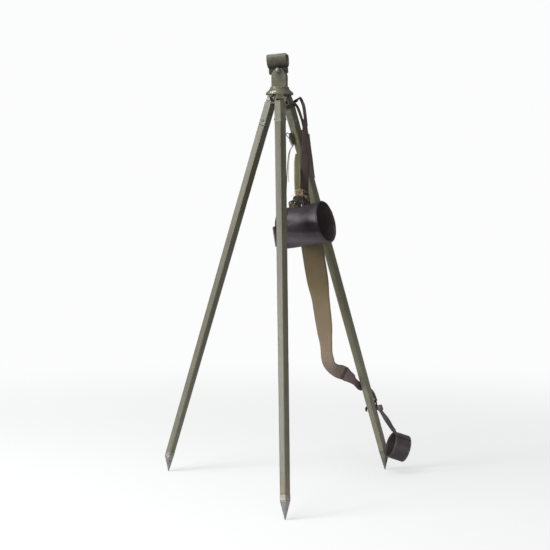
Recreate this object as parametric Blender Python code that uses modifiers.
"""Telescope tripod stand: three one-piece wooden legs in steel sockets and shoes, a turned crown,
a swivelling pillar with a tilting clip cradle, and leather and webbing goods on the right leg.

Metres in the scene, millimetres in the constants. +Z is up, the near leg points along -Y, the
ground is z = 0 and the whole stand is centred on the origin.
"""

import math

import bmesh
import bpy
from mathutils import Matrix, Vector

for old in list(bpy.data.objects):
    bpy.data.objects.remove(old, do_unlink=True)

SCALE = 0.001                # millimetres to metres
GAP = 0.3                    # clearance between fitted pieces

# ---- legs: heights run down the leg from the hinge pin, angles in degrees ----
LEG_LENGTH = 1067.0          # hinge pin to shoe tip, 42 in
LEG_SPREAD = 18.5            # each leg from vertical
LEG_TURN = {"near": 0.0, "right": 120.0, "left": -120.0}
HINGE_RADIUS = 23.5          # hinge pin from the column axis
LEG_R_TOP = 16.2             # stave circumradius at the socket
LEG_R_FOOT = 13.9            # stave circumradius at the collar
TIP_INSET = 1.5              # shoe tip from the line of the inner ridge
TIP_FLAT = 1.5               # radius of the worn flat under each shoe
SOCKET_R = 16.5
SOCKET_TOP = 12.0
SOCKET_FOOT = 71.5
POCKET_TOP = 25.0
TENON_R = 13.2
TENON_TOP = 26.0
COLLAR_TOP = 1010.0
COLLAR_FOOT = 1024.0
LUG_WIDTH = 19.0
LUG_R = 7.0
EAR_IN = 9.9
EAR_OUT = 14.0
EAR_FOOT = 18.0
EAR_FLARE = 1.5              # an ear is this much wider each side at its foot
PIN_R = 3.0
CROSS_RIVET = 59.0           # rivet through socket and tenon
CROSS_RIVET_BORE = 2.3
FOOT_TENON_R = LEG_R_FOOT - 2.2
FOOT_Y = LEG_R_TOP - LEG_R_FOOT   # collar and shoe centre, toward the column
TIP_Y = LEG_R_TOP - TIP_INSET

# ---- crown and pillar: heights above the hinge pins ----
CROWN_UNDER = 9.3
CROWN_TOP = 24.5
CROWN_R = 36.0
LUG_ROOT = 11.0
SPINDLE_R = 5.0
SPINDLE_NUT_R = 10.4
PILLAR_W = 38.0
PILLAR_D = 36.0
PILLAR_FOOT = 25.0
FLANGE_R = 25.0
FLANGE_T = 4.0
SLOT_W = 10.6
SLOT_FOOT = 47.0
COUNTERBORE_R = 8.5
COUNTERBORE_FOOT = 37.0
HEAD_TURN = -12.0

# ---- clamp screw ----
TILT_AXIS = 70.0             # clamp screw above the hinge pins
SCREW_BORE_R = 3.8
SHANK_R = 3.5
NECK_R = 4.2
SHOULDER_R = 6.4
BALL_R = 7.5
BALL_OUT = 28.5              # ball centre from the column axis
CLAMP_NUT_R = 7.6
CLAMP_NUT_T = 5.6

# ---- cradle: heights above the clamp screw ----
CRADLE_LEVEL = 4.5
PLATE_T = 10.0
PLATE_W = 49.6
CLIP_R = 22.0
CLIP_T = 2.5
CLIP_W = 50.0
CLIP_CENTRE = 30.1
CLIP_MOUTH = 50.0            # half angle of the open mouth
CLIP_SHIFT = -2.6            # bracket, clip and lining sit off centre
LINING_T = 2.2
LINING_W = 53.0
LINING_R = CLIP_R - CLIP_T - GAP
LINING_MOUTH = CLIP_MOUTH - 1.5
RIVET_OUT = 14.0             # cradle rivets from the clamp screw, along X
RIVET_BORE_R = 2.1

# ---- stand ----
FRONT_TURN = 2.2             # front view turned from the near leg
STAND_X = -27.61             # column axis, so that the whole stand is centred on the origin
STAND_Y = 86.37

SPREAD = math.radians(LEG_SPREAD)
HINGE_Z = LEG_LENGTH * math.cos(SPREAD) + TIP_Y * math.sin(SPREAD)

scene = bpy.context.scene
parts = bpy.data.collections.new("surveyor_tripod")
cutters = bpy.data.collections.new("cutters")
frames = bpy.data.collections.new("joint_frames")
for group in (parts, cutters, frames):
    scene.collection.children.link(group)


# ---- finishes ----
def finish(name, colour, metallic, roughness):
    material = bpy.data.materials.new(name)
    material.use_nodes = True
    shader = material.node_tree.nodes["Principled BSDF"]
    shader.inputs["Base Color"].default_value = (*colour, 1.0)
    shader.inputs["Metallic"].default_value = metallic
    shader.inputs["Roughness"].default_value = roughness
    return material


PAINT = finish("olive_paint", colour=(0.16, 0.17, 0.12), metallic=0.0, roughness=0.5)
WOOD = finish("painted_ash", colour=(0.30, 0.29, 0.22), metallic=0.0, roughness=0.55)
STEEL = finish("worn_steel", colour=(0.62, 0.60, 0.56), metallic=0.9, roughness=0.4)
BRASS = finish("dull_brass", colour=(0.42, 0.36, 0.24), metallic=0.85, roughness=0.45)
LEATHER = finish("dark_leather", colour=(0.075, 0.055, 0.055), metallic=0.0, roughness=0.55)
TAN = finish("brown_leather", colour=(0.10, 0.055, 0.04), metallic=0.0, roughness=0.6)
WEB = finish("olive_webbing", colour=(0.24, 0.22, 0.13), metallic=0.0, roughness=0.9)
CORD = finish("lace_cord", colour=(0.10, 0.08, 0.05), metallic=0.0, roughness=0.85)


# ---- objects ----
def to_mesh(name, shape):
    mesh = bpy.data.meshes.new(name)
    shape.to_mesh(mesh)
    shape.free()
    return mesh


def solid_mesh(name, shape):
    """A mesh in metres from a closed shape in millimetres."""
    bmesh.ops.recalc_face_normals(shape, faces=shape.faces)
    bmesh.ops.scale(shape, vec=(SCALE, SCALE, SCALE), verts=shape.verts)
    return to_mesh(name, shape)


def add_part(name, mesh, material, parent):
    """A visible piece with its own copy of a finish."""
    part = bpy.data.objects.new(name, mesh)
    parts.objects.link(part)
    own_finish = material.copy()
    own_finish.name = name
    mesh.materials.append(own_finish)
    part.parent = parent
    return part


def solid(name, shape, material, parent):
    return add_part(name, solid_mesh(name, shape), material, parent)


def cut(target, name, shape, operation="DIFFERENCE"):
    """Cut a hidden shape from the target, or join it on, in the frame the target hangs from."""
    cutter = bpy.data.objects.new(name, solid_mesh(name, shape))
    cutters.objects.link(cutter)
    cutter.hide_render = True
    cutter.display_type = "WIRE"
    cutter.parent = target.parent
    boolean = target.modifiers.new("cut_" + name, "BOOLEAN")
    boolean.operation = operation
    boolean.solver = "EXACT"
    boolean.object = cutter
    return cutter


def drill(target, name, radius, start, end, segments):
    return cut(target, name, rod(radius, start, end, segments))


def round_edges(part, width, segments):
    bevel = part.modifiers.new("edges", "BEVEL")
    bevel.width = width * SCALE
    bevel.segments = segments
    bevel.limit_method = "ANGLE"
    bevel.angle_limit = math.radians(35.0)


def lathe(name, outline, material, parent, steps):
    """An outline of (radius, height) turned round local Z; it closes itself if off the axis."""
    shape = bmesh.new()
    points = [shape.verts.new((radius * SCALE, 0.0, z * SCALE)) for radius, z in outline]
    for start, end in zip(points, points[1:]):
        shape.edges.new((start, end))
    if outline[0][0] != 0.0:
        shape.edges.new((points[-1], points[0]))
    part = add_part(name, to_mesh(name, shape), material, parent)
    screw = part.modifiers.new("turned", "SCREW")
    screw.steps = steps
    screw.render_steps = steps
    screw.use_merge_vertices = True
    screw.merge_threshold = 1e-6
    return part


# ---- shapes ----
def hexagon(radius, z, middle_y=0.0):
    angles = [2 * math.pi * k / 6 for k in range(6)]
    return [(radius * math.sin(a), middle_y - radius * math.cos(a), z) for a in angles]


def loft(rings, closed=False):
    """Skin rings of points, capping both ends or closing the last ring onto the first."""
    shape = bmesh.new()
    rings = [[shape.verts.new(point) for point in ring] for ring in rings]
    pairs = list(zip(rings, rings[1:]))
    if closed:
        pairs.append((rings[-1], rings[0]))
    for low, high in pairs:
        for i in range(len(low)):
            j = (i + 1) % len(low)
            shape.faces.new((low[i], low[j], high[j], high[i]))
    if not closed:
        shape.faces.new(rings[0])
        shape.faces.new(list(reversed(rings[-1])))
    return shape


def extrude_x(outline, low, high):
    """A flat outline of (y, z) pushed along X."""
    return loft([[(x, y, z) for y, z in outline] for x in (low, high)])


def extrude_y(outline, low, high):
    """A flat outline of (x, z) pushed along Y."""
    return loft([[(x, y, z) for x, z in outline] for y in (low, high)])


def aim(place, direction):
    """A matrix at a place with its Z along a direction."""
    return Matrix.Translation(place) @ direction.to_track_quat("Z", "Y").to_matrix().to_4x4()


def rod(radius, start, end, segments):
    start, end = Vector(start), Vector(end)
    along = end - start
    shape = bmesh.new()
    bmesh.ops.create_cone(
        shape, cap_ends=True, segments=segments, radius1=radius, radius2=radius,
        depth=along.length, matrix=aim((start + end) / 2, along),
    )
    return shape


def arc(middle_z, radius, start, end, count):
    """Points on an arc, degrees from +Z toward the first coordinate."""
    angles = [math.radians(start + (end - start) * k / count) for k in range(count + 1)]
    return [(radius * math.sin(a), middle_z + radius * math.cos(a)) for a in angles]


# ---- frames ----
def add_frame(name, matrix, parent=None):
    empty = bpy.data.objects.new(name, None)
    frames.objects.link(empty)
    empty.empty_display_size = 0.03
    empty.parent = parent
    empty.matrix_local = matrix
    return empty


def turned(degrees, axis):
    return Matrix.Rotation(math.radians(degrees), 4, axis)


def raised(height):
    return Matrix.Translation((0, 0, height * SCALE))


crown_frame = add_frame("crown_frame", raised(HINGE_Z))
head_frame = add_frame("head_frame", turned(HEAD_TURN, "Z"), crown_frame)
tilt_frame = add_frame("tilt_frame", raised(TILT_AXIS) @ turned(-CRADLE_LEVEL, "Y"), head_frame)
screw_frame = add_frame("clamp_screw_frame", raised(TILT_AXIS) @ turned(90, "X"), head_frame)
# Each leg frame sits on its hinge pin, with -Z down the leg and +Y toward the column.
leg_frames = {
    side: add_frame(
        f"leg_{side}_frame",
        turned(turn, "Z") @ Matrix.Translation((0, -HINGE_RADIUS * SCALE, 0))
        @ turned(-LEG_SPREAD, "X"),
        crown_frame,
    )
    for side, turn in LEG_TURN.items()
}
right_leg = leg_frames["right"]
sling_frame = add_frame("sling_frame", Matrix.Identity(4), right_leg)
cap_frame = add_frame("cap_frame", Matrix.Identity(4), sling_frame)
ring_frame = add_frame("ring_frame", Matrix.Identity(4), right_leg)
bpy.context.view_layer.update()   # the goods read the world places of these frames


# ---- crown ----
def build_crown():
    """The turned crown with a bored hinge lug for each leg."""
    bore = SPINDLE_R + GAP
    crown = lathe("head_crown", [
        (bore, CROWN_TOP), (FLANGE_R, CROWN_TOP), (26.5, 23.4), (29.0, 20.6), (33.0, 17.0),
        (35.4, 14.4), (CROWN_R, 13.0), (CROWN_R, 10.6), (35.0, CROWN_UNDER), (bore, CROWN_UNDER),
    ], PAINT, crown_frame, steps=60)
    outline = [
        (-HINGE_RADIUS - LUG_R, LUG_ROOT),
        *((-HINGE_RADIUS + y, z) for y, z in arc(0, LUG_R, 270, 90, 12)),
        (-HINGE_RADIUS + LUG_R, LUG_ROOT),
    ]
    for side, turn in LEG_TURN.items():
        lug = cut(crown, f"lug_{side}", extrude_x(outline, -LUG_WIDTH / 2, LUG_WIDTH / 2), "UNION")
        hole = drill(crown, f"lug_bore_{side}", PIN_R + GAP, (-LUG_WIDTH, -HINGE_RADIUS, 0),
                     (LUG_WIDTH, -HINGE_RADIUS, 0), 20)
        for cutter in (lug, hole):
            cutter.rotation_euler[2] = math.radians(turn)


def build_spindle():
    """The headed spindle the pillar turns on, with its washer and nut under the crown."""
    bore = SPINDLE_R + GAP
    lathe("azimuth_spindle", [
        (0.0, 41.4), (6.8, 41.4), (8.0, 40.4), (8.0, 37.4), (SPINDLE_R, 37.4), (SPINDLE_R, 2.0),
        (4.2, 1.0), (0.0, 1.0),
    ], STEEL, crown_frame, steps=32)
    lathe("spindle_washer", [
        (10.6, 9.0), (11.0, 8.6), (11.0, 7.8), (10.6, 7.4), (bore, 7.4), (bore, 9.0),
    ], STEEL, crown_frame, steps=32)
    shape = loft([hexagon(SPINDLE_NUT_R, 2.6), hexagon(SPINDLE_NUT_R, 7.1)])
    nut = solid("spindle_nut", shape, STEEL, crown_frame)
    drill(nut, "spindle_nut_bore", bore, (0, 0, 1.5), (0, 0, 9.0), 32)
    round_edges(nut, 0.5, 1)


# ---- pillar ----
def build_pillar():
    """The slotted pillar on its round flange. Cutters run past its faces."""
    # Right half of the outline from foot to top, (x, z)
    half = PILLAR_W / 2
    right_side = [
        (half, PILLAR_FOOT + FLANGE_T - 1.0), (half, 59.0), (half - 1.6, 63.5),
        (half - 5.0, 68.0), (10.5, 72.6), (6.0, 75.4),
    ]
    outline = [(-x, z) for x, z in right_side] + right_side[::-1]
    pillar = solid("head_pillar", extrude_y(outline, -PILLAR_D / 2, PILLAR_D / 2), PAINT, head_frame)
    round_edges(pillar, 1.4, 2)
    flange = rod(FLANGE_R, (0, 0, PILLAR_FOOT), (0, 0, PILLAR_FOOT + FLANGE_T), 60)
    cut(pillar, "pillar_flange", flange, "UNION")
    slot_top = 90.0
    slot = bmesh.new()
    bmesh.ops.create_cube(slot, size=1.0, matrix=(
        Matrix.Translation((0, 0, (SLOT_FOOT + slot_top) / 2))
        @ Matrix.Diagonal((2 * PILLAR_W, SLOT_W, slot_top - SLOT_FOOT, 1))
    ))
    cut(pillar, "pillar_slot", slot)
    drill(pillar, "pillar_bore", SPINDLE_R + GAP, (0, 0, 20), (0, 0, 60), 32)
    drill(pillar, "pillar_counterbore", COUNTERBORE_R, (0, 0, COUNTERBORE_FOOT), (0, 0, 60), 40)
    drill(pillar, "pillar_screw_bore", SCREW_BORE_R, (0, -PILLAR_D, TILT_AXIS),
          (0, PILLAR_D, TILT_AXIS), 24)


def build_clamp_screw():
    """The ball-headed screw through the pillar and its nut; local +Z points out of the ball."""
    face = PILLAR_D / 2 + GAP
    ball_join = math.degrees(math.asin(NECK_R / BALL_R))
    lathe("clamp_screw", [
        *arc(BALL_OUT, BALL_R, 0, 180 - ball_join, 12),
        (NECK_R, face + 2.6), (SHOULDER_R, face + 2.2), (SHOULDER_R, face), (SHANK_R, face),
        (SHANK_R, -26.0), (2.8, -26.8), (0.0, -26.8),
    ], STEEL, screw_frame, steps=32)
    shape = loft([hexagon(CLAMP_NUT_R, -face - CLAMP_NUT_T), hexagon(CLAMP_NUT_R, -face)])
    nut = solid("clamp_nut", shape, STEEL, screw_frame)
    drill(nut, "clamp_nut_bore", SCREW_BORE_R, (0, 0, -30), (0, 0, -10), 24)
    round_edges(nut, 0.5, 1)


# ---- cradle ----
def trough(inner, outer, mouth, width):
    """A C section, open at the top, round a line along X at the clip centre."""
    section = (arc(CLIP_CENTRE, outer, mouth, 360 - mouth, 40)
               + arc(CLIP_CENTRE, inner, 360 - mouth, mouth, 40))
    return extrude_x(section, CLIP_SHIFT - width / 2, CLIP_SHIFT + width / 2)


def build_cradle():
    """The tilting bracket, the clip and its lining, held together by two rivets."""
    left, right = CLIP_SHIFT - PLATE_W / 2, CLIP_SHIFT + PLATE_W / 2
    outline = [
        (left, -4.0), (left + 1.5, -6.6), (left + 4.0, -7.4), (right - 4.0, -7.4),
        (right - 1.5, -6.0), (right, -3.0), (right, 7.8), (left, 7.8),
    ]
    shape = extrude_y(outline, -PLATE_T / 2, PLATE_T / 2)
    plate = solid("cradle_bracket", shape, PAINT, tilt_frame)
    drill(plate, "bracket_bore", SCREW_BORE_R, (0, -PLATE_T, 0), (0, PLATE_T, 0), 24)
    shape = trough(CLIP_R - CLIP_T, CLIP_R, CLIP_MOUTH, CLIP_W)
    clip = solid("cradle_clip", shape, PAINT, tilt_frame)
    shape = trough(LINING_R - LINING_T, LINING_R, LINING_MOUTH, LINING_W)
    lining = solid("cradle_lining", shape, LEATHER, tilt_frame)

    seat = CLIP_CENTRE - (LINING_R - LINING_T) + 0.6
    for k, x in enumerate((-RIVET_OUT, RIVET_OUT), start=1):
        for owner in (plate, clip, lining):
            drill(owner, f"rivet_bore_{owner.name}_{k}", RIVET_BORE_R, (x, 0, -3.6), (x, 0, 20), 20)
        rivet = lathe(f"cradle_rivet_{k}", [
            (0.0, seat + 1.5), (2.0, seat + 1.2), (3.4, seat + 0.4), (3.5, seat),
            (1.8, seat), (1.8, -2.8), (0.0, -2.8),
        ], BRASS, tilt_frame, steps=20)
        rivet.location.x = x * SCALE


# ---- legs ----
def stave_radius(down):
    slope = (LEG_R_FOOT - LEG_R_TOP) / (COLLAR_TOP - SOCKET_FOOT)
    return LEG_R_TOP + slope * (down - SOCKET_FOOT)


def build_stave(tag, frame):
    """The tapered six-sided stave, a tenon at each end. Its inner ridge is straight."""
    edge = 0.6
    shoulder = SOCKET_FOOT + GAP
    end = COLLAR_TOP - GAP
    return solid(f"{tag}_stave", loft([
        hexagon(TENON_R, -TENON_TOP),
        hexagon(TENON_R, -shoulder),
        hexagon(LEG_R_TOP - edge, -shoulder),
        hexagon(LEG_R_TOP, -(shoulder + 0.8)),
        hexagon(LEG_R_FOOT, -(COLLAR_TOP - 0.8), FOOT_Y),
        hexagon(LEG_R_FOOT - edge, -end, FOOT_Y),
        hexagon(FOOT_TENON_R, -end, FOOT_Y),
        hexagon(FOOT_TENON_R, -(COLLAR_FOOT - 0.5), FOOT_Y),
    ]), WOOD, frame)


def build_socket(tag, frame):
    """A six-sided cup, open below, carrying two hinge ears."""
    socket = solid(f"{tag}_socket", loft([
        hexagon(SOCKET_R - 1.0, -SOCKET_TOP),
        hexagon(SOCKET_R, -SOCKET_TOP - 1.0),
        hexagon(SOCKET_R, -SOCKET_FOOT + 1.0),
        hexagon(SOCKET_R - 0.6, -SOCKET_FOOT),
        hexagon(TENON_R + GAP, -SOCKET_FOOT),
        hexagon(TENON_R + GAP, -POCKET_TOP),
    ]), PAINT, frame)
    ear_foot = LUG_R + EAR_FLARE
    outline = arc(0, LUG_R, -90, 90, 12) + [(ear_foot, -EAR_FOOT), (-ear_foot, -EAR_FOOT)]
    for k, (low, high) in enumerate(((-EAR_OUT, -EAR_IN), (EAR_IN, EAR_OUT)), start=1):
        cut(socket, f"{tag}_ear_{k}", extrude_x(outline, low, high), "UNION")
    drill(socket, f"{tag}_ear_bore", PIN_R + GAP, (-20, 0, 0), (20, 0, 0), 20)
    return socket


def build_socket_rivet(tag, frame, socket, stave):
    """The cross rivet along X, and its bores through socket and tenon."""
    for owner in (socket, stave):
        drill(owner, f"{owner.name}_rivet_bore", CROSS_RIVET_BORE, (-20, 0, -CROSS_RIVET),
              (20, 0, -CROSS_RIVET), 16)
    flat = SOCKET_R * math.cos(math.radians(30)) + GAP
    rivet = lathe(f"{tag}_socket_rivet", [
        (0.0, flat + 1.6), (2.2, flat + 1.3), (3.6, flat + 0.3), (3.6, flat), (2.0, flat),
        (2.0, -flat), (3.6, -flat), (3.6, -flat - 0.3), (2.2, -flat - 1.3), (0.0, -flat - 1.6),
    ], STEEL, frame, steps=18)
    rivet.matrix_local = raised(-CROSS_RIVET) @ turned(90, "Y")


def build_hinge(tag, frame):
    """The hinge bolt along X and its nut on the -X side."""
    bolt = lathe(f"{tag}_hinge_bolt", [
        (0.0, EAR_OUT + 3.6), (4.6, EAR_OUT + 3.6), (5.4, EAR_OUT + 2.8), (5.4, EAR_OUT + 0.4),
        (PIN_R, EAR_OUT + 0.4), (PIN_R, -EAR_OUT - 4.2), (2.4, -EAR_OUT - 4.8),
        (0.0, -EAR_OUT - 4.8),
    ], STEEL, frame, steps=20)
    bolt.matrix_local = turned(90, "Y")
    shape = loft([hexagon(5.6, -EAR_OUT - 3.6), hexagon(5.6, -EAR_OUT - 0.4)])
    nut = solid(f"{tag}_hinge_nut", shape, STEEL, frame)
    nut.matrix_local = turned(90, "Y")
    drill(nut, f"{tag}_nut_bore", PIN_R + GAP, (-30, 0, 0), (-10, 0, 0), 20)


def build_collar(tag, frame):
    outer, inner = LEG_R_FOOT + 0.3, LEG_R_FOOT - 1.8
    solid(f"{tag}_collar", loft([
        hexagon(outer, -COLLAR_TOP, FOOT_Y),
        hexagon(outer, -COLLAR_FOOT, FOOT_Y),
        hexagon(inner, -COLLAR_FOOT, FOOT_Y),
        hexagon(inner, -COLLAR_TOP, FOOT_Y),
    ], closed=True), STEEL, frame)


def build_shoe(tag, frame):
    """A six-sided point whose tip lies by the inner ridge, its sole flat on the ground."""
    shoe_r = LEG_R_FOOT - 0.2
    sole = [
        (x, y, z + math.tan(SPREAD) * (y - TIP_Y))
        for x, y, z in hexagon(TIP_FLAT, -LEG_LENGTH, TIP_Y - TIP_FLAT)
    ]
    solid(f"{tag}_shoe", loft([
        hexagon(shoe_r, -(COLLAR_FOOT + GAP), FOOT_Y),
        hexagon(shoe_r, -(COLLAR_FOOT + 2.0), FOOT_Y),
        hexagon(TIP_FLAT + 0.7, -(LEG_LENGTH - 3.0), TIP_Y - TIP_FLAT - 0.5),
        sole,
    ]), STEEL, frame)


def build_leg(side, frame):
    tag = f"leg_{side}"
    stave = build_stave(tag, frame)
    socket = build_socket(tag, frame)
    build_socket_rivet(tag, frame, socket, stave)
    build_hinge(tag, frame)
    build_collar(tag, frame)
    build_shoe(tag, frame)


# ---- placing the leather and webbing goods, all hung on the right leg ----
VIEW = math.radians(FRONT_TURN)


def front(right, forward, up):
    """A point or direction seen from the front view, from the column foot."""
    return Vector((
        right * math.cos(VIEW) - forward * math.sin(VIEW),
        -right * math.sin(VIEW) - forward * math.cos(VIEW),
        up,
    ))


def leg_point(down, around, out):
    """A point on the right leg: down it, degrees around (0 faces the column), out from its middle."""
    radius = LEG_R_TOP if down < SOCKET_FOOT else stave_radius(down)
    angle = math.radians(around)
    middle_y = LEG_R_TOP - radius
    local = Vector((out * math.sin(angle), middle_y + out * math.cos(angle), -down))
    return (right_leg.matrix_world @ (local * SCALE)) / SCALE


LEG_UP = (leg_point(100, 0, 0) - leg_point(500, 0, 0)).normalized()


# A station is (point, direction across the strap, width).
def seen(place, across, width):
    """A station from (right, forward, up) in the front view."""
    return front(*place), front(*across), width


def on_leg(place, width, across=None):
    """A station from (down, around, out) on the leg, lying across its length unless told."""
    return leg_point(*place), front(*across) if across else LEG_UP, width


def smooth(points, count):
    """A Catmull-Rom line through the points."""
    padded = [points[0] * 2 - points[1], *points, points[-1] * 2 - points[-2]]
    line = []
    for i in range(1, len(padded) - 2):
        before, start, end, after = padded[i - 1:i + 3]
        for k in range(count):
            t = k / count
            line.append(0.5 * (
                2 * start + (end - before) * t
                + (2 * before - 5 * start + 4 * end - after) * t * t
                + (3 * start - before - 3 * end + after) * t ** 3
            ))
    line.append(points[-1])
    return line


def hold_in_world(part):
    """Let a part's own coordinates read as world ones under its parent."""
    part.matrix_parent_inverse = part.parent.matrix_world.inverted()


def ribbon(name, stations, thickness, material, parent, count=5, strips=2):
    """A strap through its stations, count steps between each two and strips across."""
    line = smooth([point for point, across, width in stations], count)
    sides = smooth([across.normalized() * width / 2 for point, across, width in stations], count)
    shape = bmesh.new()
    rows = [
        [shape.verts.new((point + side * (2 * k / strips - 1)) * SCALE) for k in range(strips + 1)]
        for point, side in zip(line, sides)
    ]
    for row, following in zip(rows, rows[1:]):
        for k in range(strips):
            shape.faces.new((row[k], following[k], following[k + 1], row[k + 1]))
    strap = add_part(name, to_mesh(name, shape), material, parent)
    hold_in_world(strap)
    solidify = strap.modifiers.new("thickness", "SOLIDIFY")
    solidify.thickness = thickness * SCALE
    solidify.offset = 0.0
    solidify.use_even_offset = True


def cord(name, line, radius, parent, cyclic=False):
    """A round cord along a line of points, as a mesh."""
    curve = bpy.data.curves.new(name, "CURVE")
    curve.dimensions = "3D"
    curve.bevel_depth = radius * SCALE
    curve.bevel_resolution = 2
    curve.use_fill_caps = not cyclic
    spline = curve.splines.new("POLY")
    spline.points.add(len(line) - 1)
    for knot, point in zip(spline.points, line):
        knot.co = (*(point * SCALE), 1.0)
    spline.use_cyclic_u = cyclic

    holder = bpy.data.objects.new(name + "_line", curve)
    scene.collection.objects.link(holder)
    bpy.context.view_layer.update()
    graph = bpy.context.evaluated_depsgraph_get()
    mesh = bpy.data.meshes.new_from_object(holder.evaluated_get(graph))
    mesh.name = name
    bpy.data.objects.remove(holder, do_unlink=True)

    # The fill caps come apart from the tube, so weld them on.
    shape = bmesh.new()
    shape.from_mesh(mesh)
    bmesh.ops.remove_doubles(shape, verts=shape.verts, dist=1e-6)
    bmesh.ops.recalc_face_normals(shape, faces=shape.faces)
    shape.to_mesh(mesh)
    shape.free()
    hold_in_world(add_part(name, mesh, CORD, parent))


# ---- sling ----
def build_sling():
    # Strap round the socket: both ends hang down on the right, behind the chape
    ribbon("sling_loop", [
        seen((63, -3, 945), (0.97, 0.1, 0.2), 8),
        seen((57, -3, 966), (0.95, 0.1, 0.3), 7),
        seen((49, -4, 989), (0.9, 0.2, 0.4), 7.5),
        on_leg((18.5, 248, 20.5), 8, (0.3, 0.2, 0.9)),
        on_leg((19, 285, 19.8), 9),
        *(on_leg((19, around, 19.6), 9) for around in (320, 355, 30, 65, 100)),
        on_leg((18, 135, 20.0), 9),
        on_leg((14, 168, 21.5), 9),
        seen((47, -23, 1015), (-0.1, 0.4, 0.85), 8.5),
        seen((53, -14, 1019), (0.5, 0.5, 0.6), 8.5),
        seen((59, -8, 1008), (0.8, 0.3, 0.4), 8.5),
        seen((63, -3, 995), (0.95, 0.1, 0.25), 8.5),
        seen((66.5, 1, 970), (0.98, 0.1, 0.15), 8.5),
        seen((69, 2.5, 945), (0.98, 0.1, 0.1), 9),
    ], 2.0, TAN, sling_frame, count=3)
    ribbon("sling_chape_upper", [
        seen((64.5, 6.5, 963), (1, 0.08, 0.1), 10),
        seen((66.5, 7.5, 930), (1, 0.1, 0), 15.5),
        seen((68.5, 6, 905), (1, 0.1, 0), 19.5),
        seen((67.5, 3, 880), (1, 0.1, 0), 21),
        seen((66, -3, 830), (1, 0.1, 0), 21),
        seen((65, -13, 785), (1, 0, 0), 21),
        seen((69, -24, 748), (1, 0, 0), 24),
        seen((75, -31, 722), (1, 0, 0), 24),
    ], 2.4, TAN, sling_frame)
    ribbon("sling_tail", [
        seen((74, 12.5, 925), (1, 0.1, 0), 7),
        seen((75.5, 11, 905), (1, 0.1, 0), 9),
        seen((78.5, 8, 880), (1, 0.1, 0), 9.5),
        seen((81.5, 5.5, 860), (1, 0.1, 0), 9.5),
        seen((86, 1.5, 835), (1, 0.1, 0), 6.5),
        seen((91.5, -2, 811), (1, 0.1, 0), 2.2),
    ], 2.0, TAN, sling_frame)
    ribbon("sling_webbing", [
        seen((80, -35.5, 726), (1, 0, 0), 58),
        seen((84, -36, 660), (1, 0, 0), 59),
        seen((88, -34, 622), (1, 0, 0), 59),
        seen((100.5, -32, 542), (1, 0.12, 0), 58),
        seen((108.5, -32, 489), (1, 0.7, 0), 57),
        seen((117.5, -34, 422), (1, 0.92, 0), 57),
        seen((123.5, -39, 360), (0.6, 1, 0), 57),
        seen((127.4, -44, 330), (0.315, 0.47, 0.052), 57),
        seen((132.6, -50, 315), (0.292, 0.467, 0.146), 57),
        seen((143.6, -57, 302.7), (0.24, 0.445, 0.264), 57),
        seen((160, -67, 293.4), (0.187, 0.36, 0.379), 55),
        seen((177.6, -79, 285), (0.15, 0.28, 0.362), 49),
    ], 2.0, WEB, sling_frame, count=4, strips=4)
    ribbon("sling_chape_lower", [
        seen((180, -84.5, 282.5), (0.15, 0.2, 0.362), 43),
        seen((191, -101, 274), (0.15, 0.14, 0.95), 33),
        seen((204.5, -126, 260), (0.05, 0.06, 0.98), 30),
        on_leg((811, 50, 22.5), 34),
        on_leg((820, 85, 20.2), 27),
        on_leg((829, 120, 19.0), 20),
        on_leg((838, 150, 18.6), 14, (0.15, 0.3, 0.9)),
        on_leg((849, 177, 18.6), 11, (0.4, 0.55, 0.6)),
        on_leg((866, 200, 18.4), 9, (0.55, 0.75, 0.3)),
    ], 2.2, TAN, sling_frame)
    stations = [on_leg((873, around, 17.2), 7.5) for around in range(80, 237, 12)]
    ribbon("sling_keeper", stations, 2.0, TAN, sling_frame, count=2)


def build_lace():
    """The lace wound to and fro round the leg, its loose cord, and the narrow webbing."""
    turns, last = 3.5, 84
    wind = []
    for k in range(last + 1):
        t = k / last
        swing = 0.5 - 0.5 * math.cos(2 * math.pi * turns * t)
        wind.append(leg_point(88 + 32 * t, -15 + 225 * swing, 18.6 + 0.7 * math.sin(9.7 * k)))
    cord("lace_wrap", wind, 1.4, sling_frame)
    cord("lace_cord", smooth([
        leg_point(124, 335, 22.0), front(26, -4, 880), front(22, 0, 858), front(19, 3, 811),
        front(17.5, 4, 780), front(17, 4, 752),
    ], 6), 1.1, sling_frame)
    ribbon("cap_webbing", [
        seen((48, -13.5, 874), (1, 0, 0), 13),
        seen((46.4, -6, 852), (1, 0, 0), 15),
        seen((46, 0, 830), (1, 0, 0), 15),
        seen((46, 4, 802), (1, 0, 0), 15),
        seen((46, 6, 784), (1, 0, 0), 14),
    ], 1.8, WEB, sling_frame)


# ---- leather cap, a deep tube with one open end ----
CAP_R = 53.0
CAP_T = 3.0
CAP_BACK = front(13, 6, 678)          # middle of the closed end
CAP_MOUTH = front(121, 62, 698.5)     # middle of the open end
CAP_AXIS = (CAP_MOUTH - CAP_BACK).normalized()


def upright(axis):
    """The direction square to an axis that points most nearly up."""
    return (Vector((0, 0, 1)) - axis * axis.z).normalized()


def build_cap():
    length = (CAP_MOUTH - CAP_BACK).length
    back_r, middle_r, mouth_r = CAP_R - 1.6, CAP_R + 0.4, CAP_R + 1.6
    cap = lathe("head_cap", [
        (0.0, CAP_T), (CAP_R - 10.0, CAP_T), (CAP_R - 6.0, 5.0), (back_r - CAP_T, 10.0),
        (middle_r - CAP_T, length * 0.55), (mouth_r - CAP_T, length),
        (mouth_r, length), (middle_r, length * 0.55), (back_r, 8.0),
        (CAP_R - 4.0, 2.5), (CAP_R - 9.0, 0.0), (0.0, 0.0),
    ], LEATHER, cap_frame, steps=48)
    hold_in_world(cap)
    cap.matrix_basis = aim(CAP_BACK * SCALE, CAP_AXIS)


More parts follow.
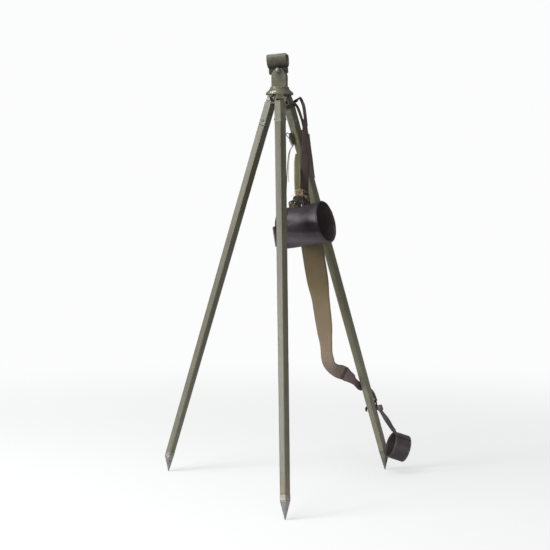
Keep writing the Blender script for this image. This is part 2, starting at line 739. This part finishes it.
def build_cap_knot():
    """The knotted cord above the cap, a closed trefoil."""
    knot = []
    for k in range(96):
        t = 2 * math.pi * k / 96
        radius = 8.2 + 3.4 * math.cos(3 * t)
        knot.append(front(53 + radius * math.cos(2 * t), 9 + 4.4 * math.sin(3 * t),
                          766 + radius * math.sin(2 * t)))
    cord("cap_knot", knot, 1.9, cap_frame, cyclic=True)


def build_cap_lace():
    """A lace zigzagging over the top of the cap."""
    up = upright(CAP_AXIS)
    over = up.cross(CAP_AXIS)
    last = 33
    lace = []
    for k in range(last + 1):
        along = 20 + 38 * k / last
        out = CAP_R + 4.6 + 0.8 * math.cos(5.1 * k)
        angle = math.radians(13 * math.sin(2.9 * k) - 4)
        outward = up * math.cos(angle) - over * math.sin(angle)
        lace.append(CAP_BACK + CAP_AXIS * along + outward * out)
    cord("cap_lace", smooth(lace, 3), 1.2, cap_frame)


def build_cap_tab():
    """A strap end flat on the closed end, showing past its edge and dropping as it goes."""
    across = front(-0.46, 0.887, 0).normalized()
    rise = across.cross(CAP_AXIS).normalized()
    # (place across the closed end, width)
    table = ((-20, 40), (5, 46), (30, 50), (50, 52), (62, 51))
    ribbon("cap_tab", [
        (CAP_BACK - CAP_AXIS * 1.5 + across * place - rise * (4 + 0.18 * (place + 20)), rise, width)
        for place, width in table
    ], 2.0, LEATHER, cap_frame)


# ---- foot ring ----
RING_R = 35.5
RING_W = 47.0
RING_T = 2.6
RING_MID = front(327, -140, 73)
RING_AXIS = front(0.92, -0.20, -0.335).normalized()


def build_ring_straps():
    """The keeper round the leg and the strap from it down to the ring."""
    ribbon("ring_keeper", [
        on_leg((884, around, 17.4 + (1.3 if around > 230 else 0)), 9 if around < 222 else 14)
        for around in range(12, 262, 12)
    ], 2.2, TAN, ring_frame, count=2)
    ring_top = RING_MID + Vector((0, 0, RING_R + 6.5)) - RING_AXIS * 14
    ribbon("ring_strap", [
        on_leg((890, 243, 22.8), 10, (0.6, -0.75, 0.15)),
        seen((291, -134, 152), (0.75, 0.2, 0.6), 9),
        seen((307, -137, 128), (0.75, 0.3, 0.55), 9),
        (ring_top, front(0.75, 0.5, 0.3), 12),
    ], 2.6, LEATHER, ring_frame)


def build_ring():
    """The leather ring and the patch over its top."""
    half, inner = RING_W / 2, RING_R - RING_T
    outline = [(RING_R, half), (RING_R, -half), (inner, -half), (inner, half)]
    ring = lathe("foot_ring", outline, LEATHER, ring_frame, steps=48)
    hold_in_world(ring)
    ring.matrix_basis = aim(RING_MID * SCALE, RING_AXIS)
    top = upright(RING_AXIS)
    side = RING_AXIS.cross(top)
    ribbon("ring_patch", [
        (RING_MID + (top * math.cos(a) + side * math.sin(a)) * (RING_R + 1.7),
         RING_AXIS, RING_W - 4)
        for a in map(math.radians, range(-36, 37, 9))
    ], 2.2, LEATHER, ring_frame, count=2)


build_crown()
build_spindle()
build_pillar()
build_clamp_screw()
build_cradle()
for side, frame in leg_frames.items():
    build_leg(side, frame)
build_sling()
build_lace()
build_cap()
build_cap_knot()
build_cap_lace()
build_cap_tab()
build_ring_straps()
build_ring()

# Everything was built with the column over the origin; now centre the stand's footprint.
crown_frame.location.x += STAND_X * SCALE
crown_frame.location.y += STAND_Y * SCALE
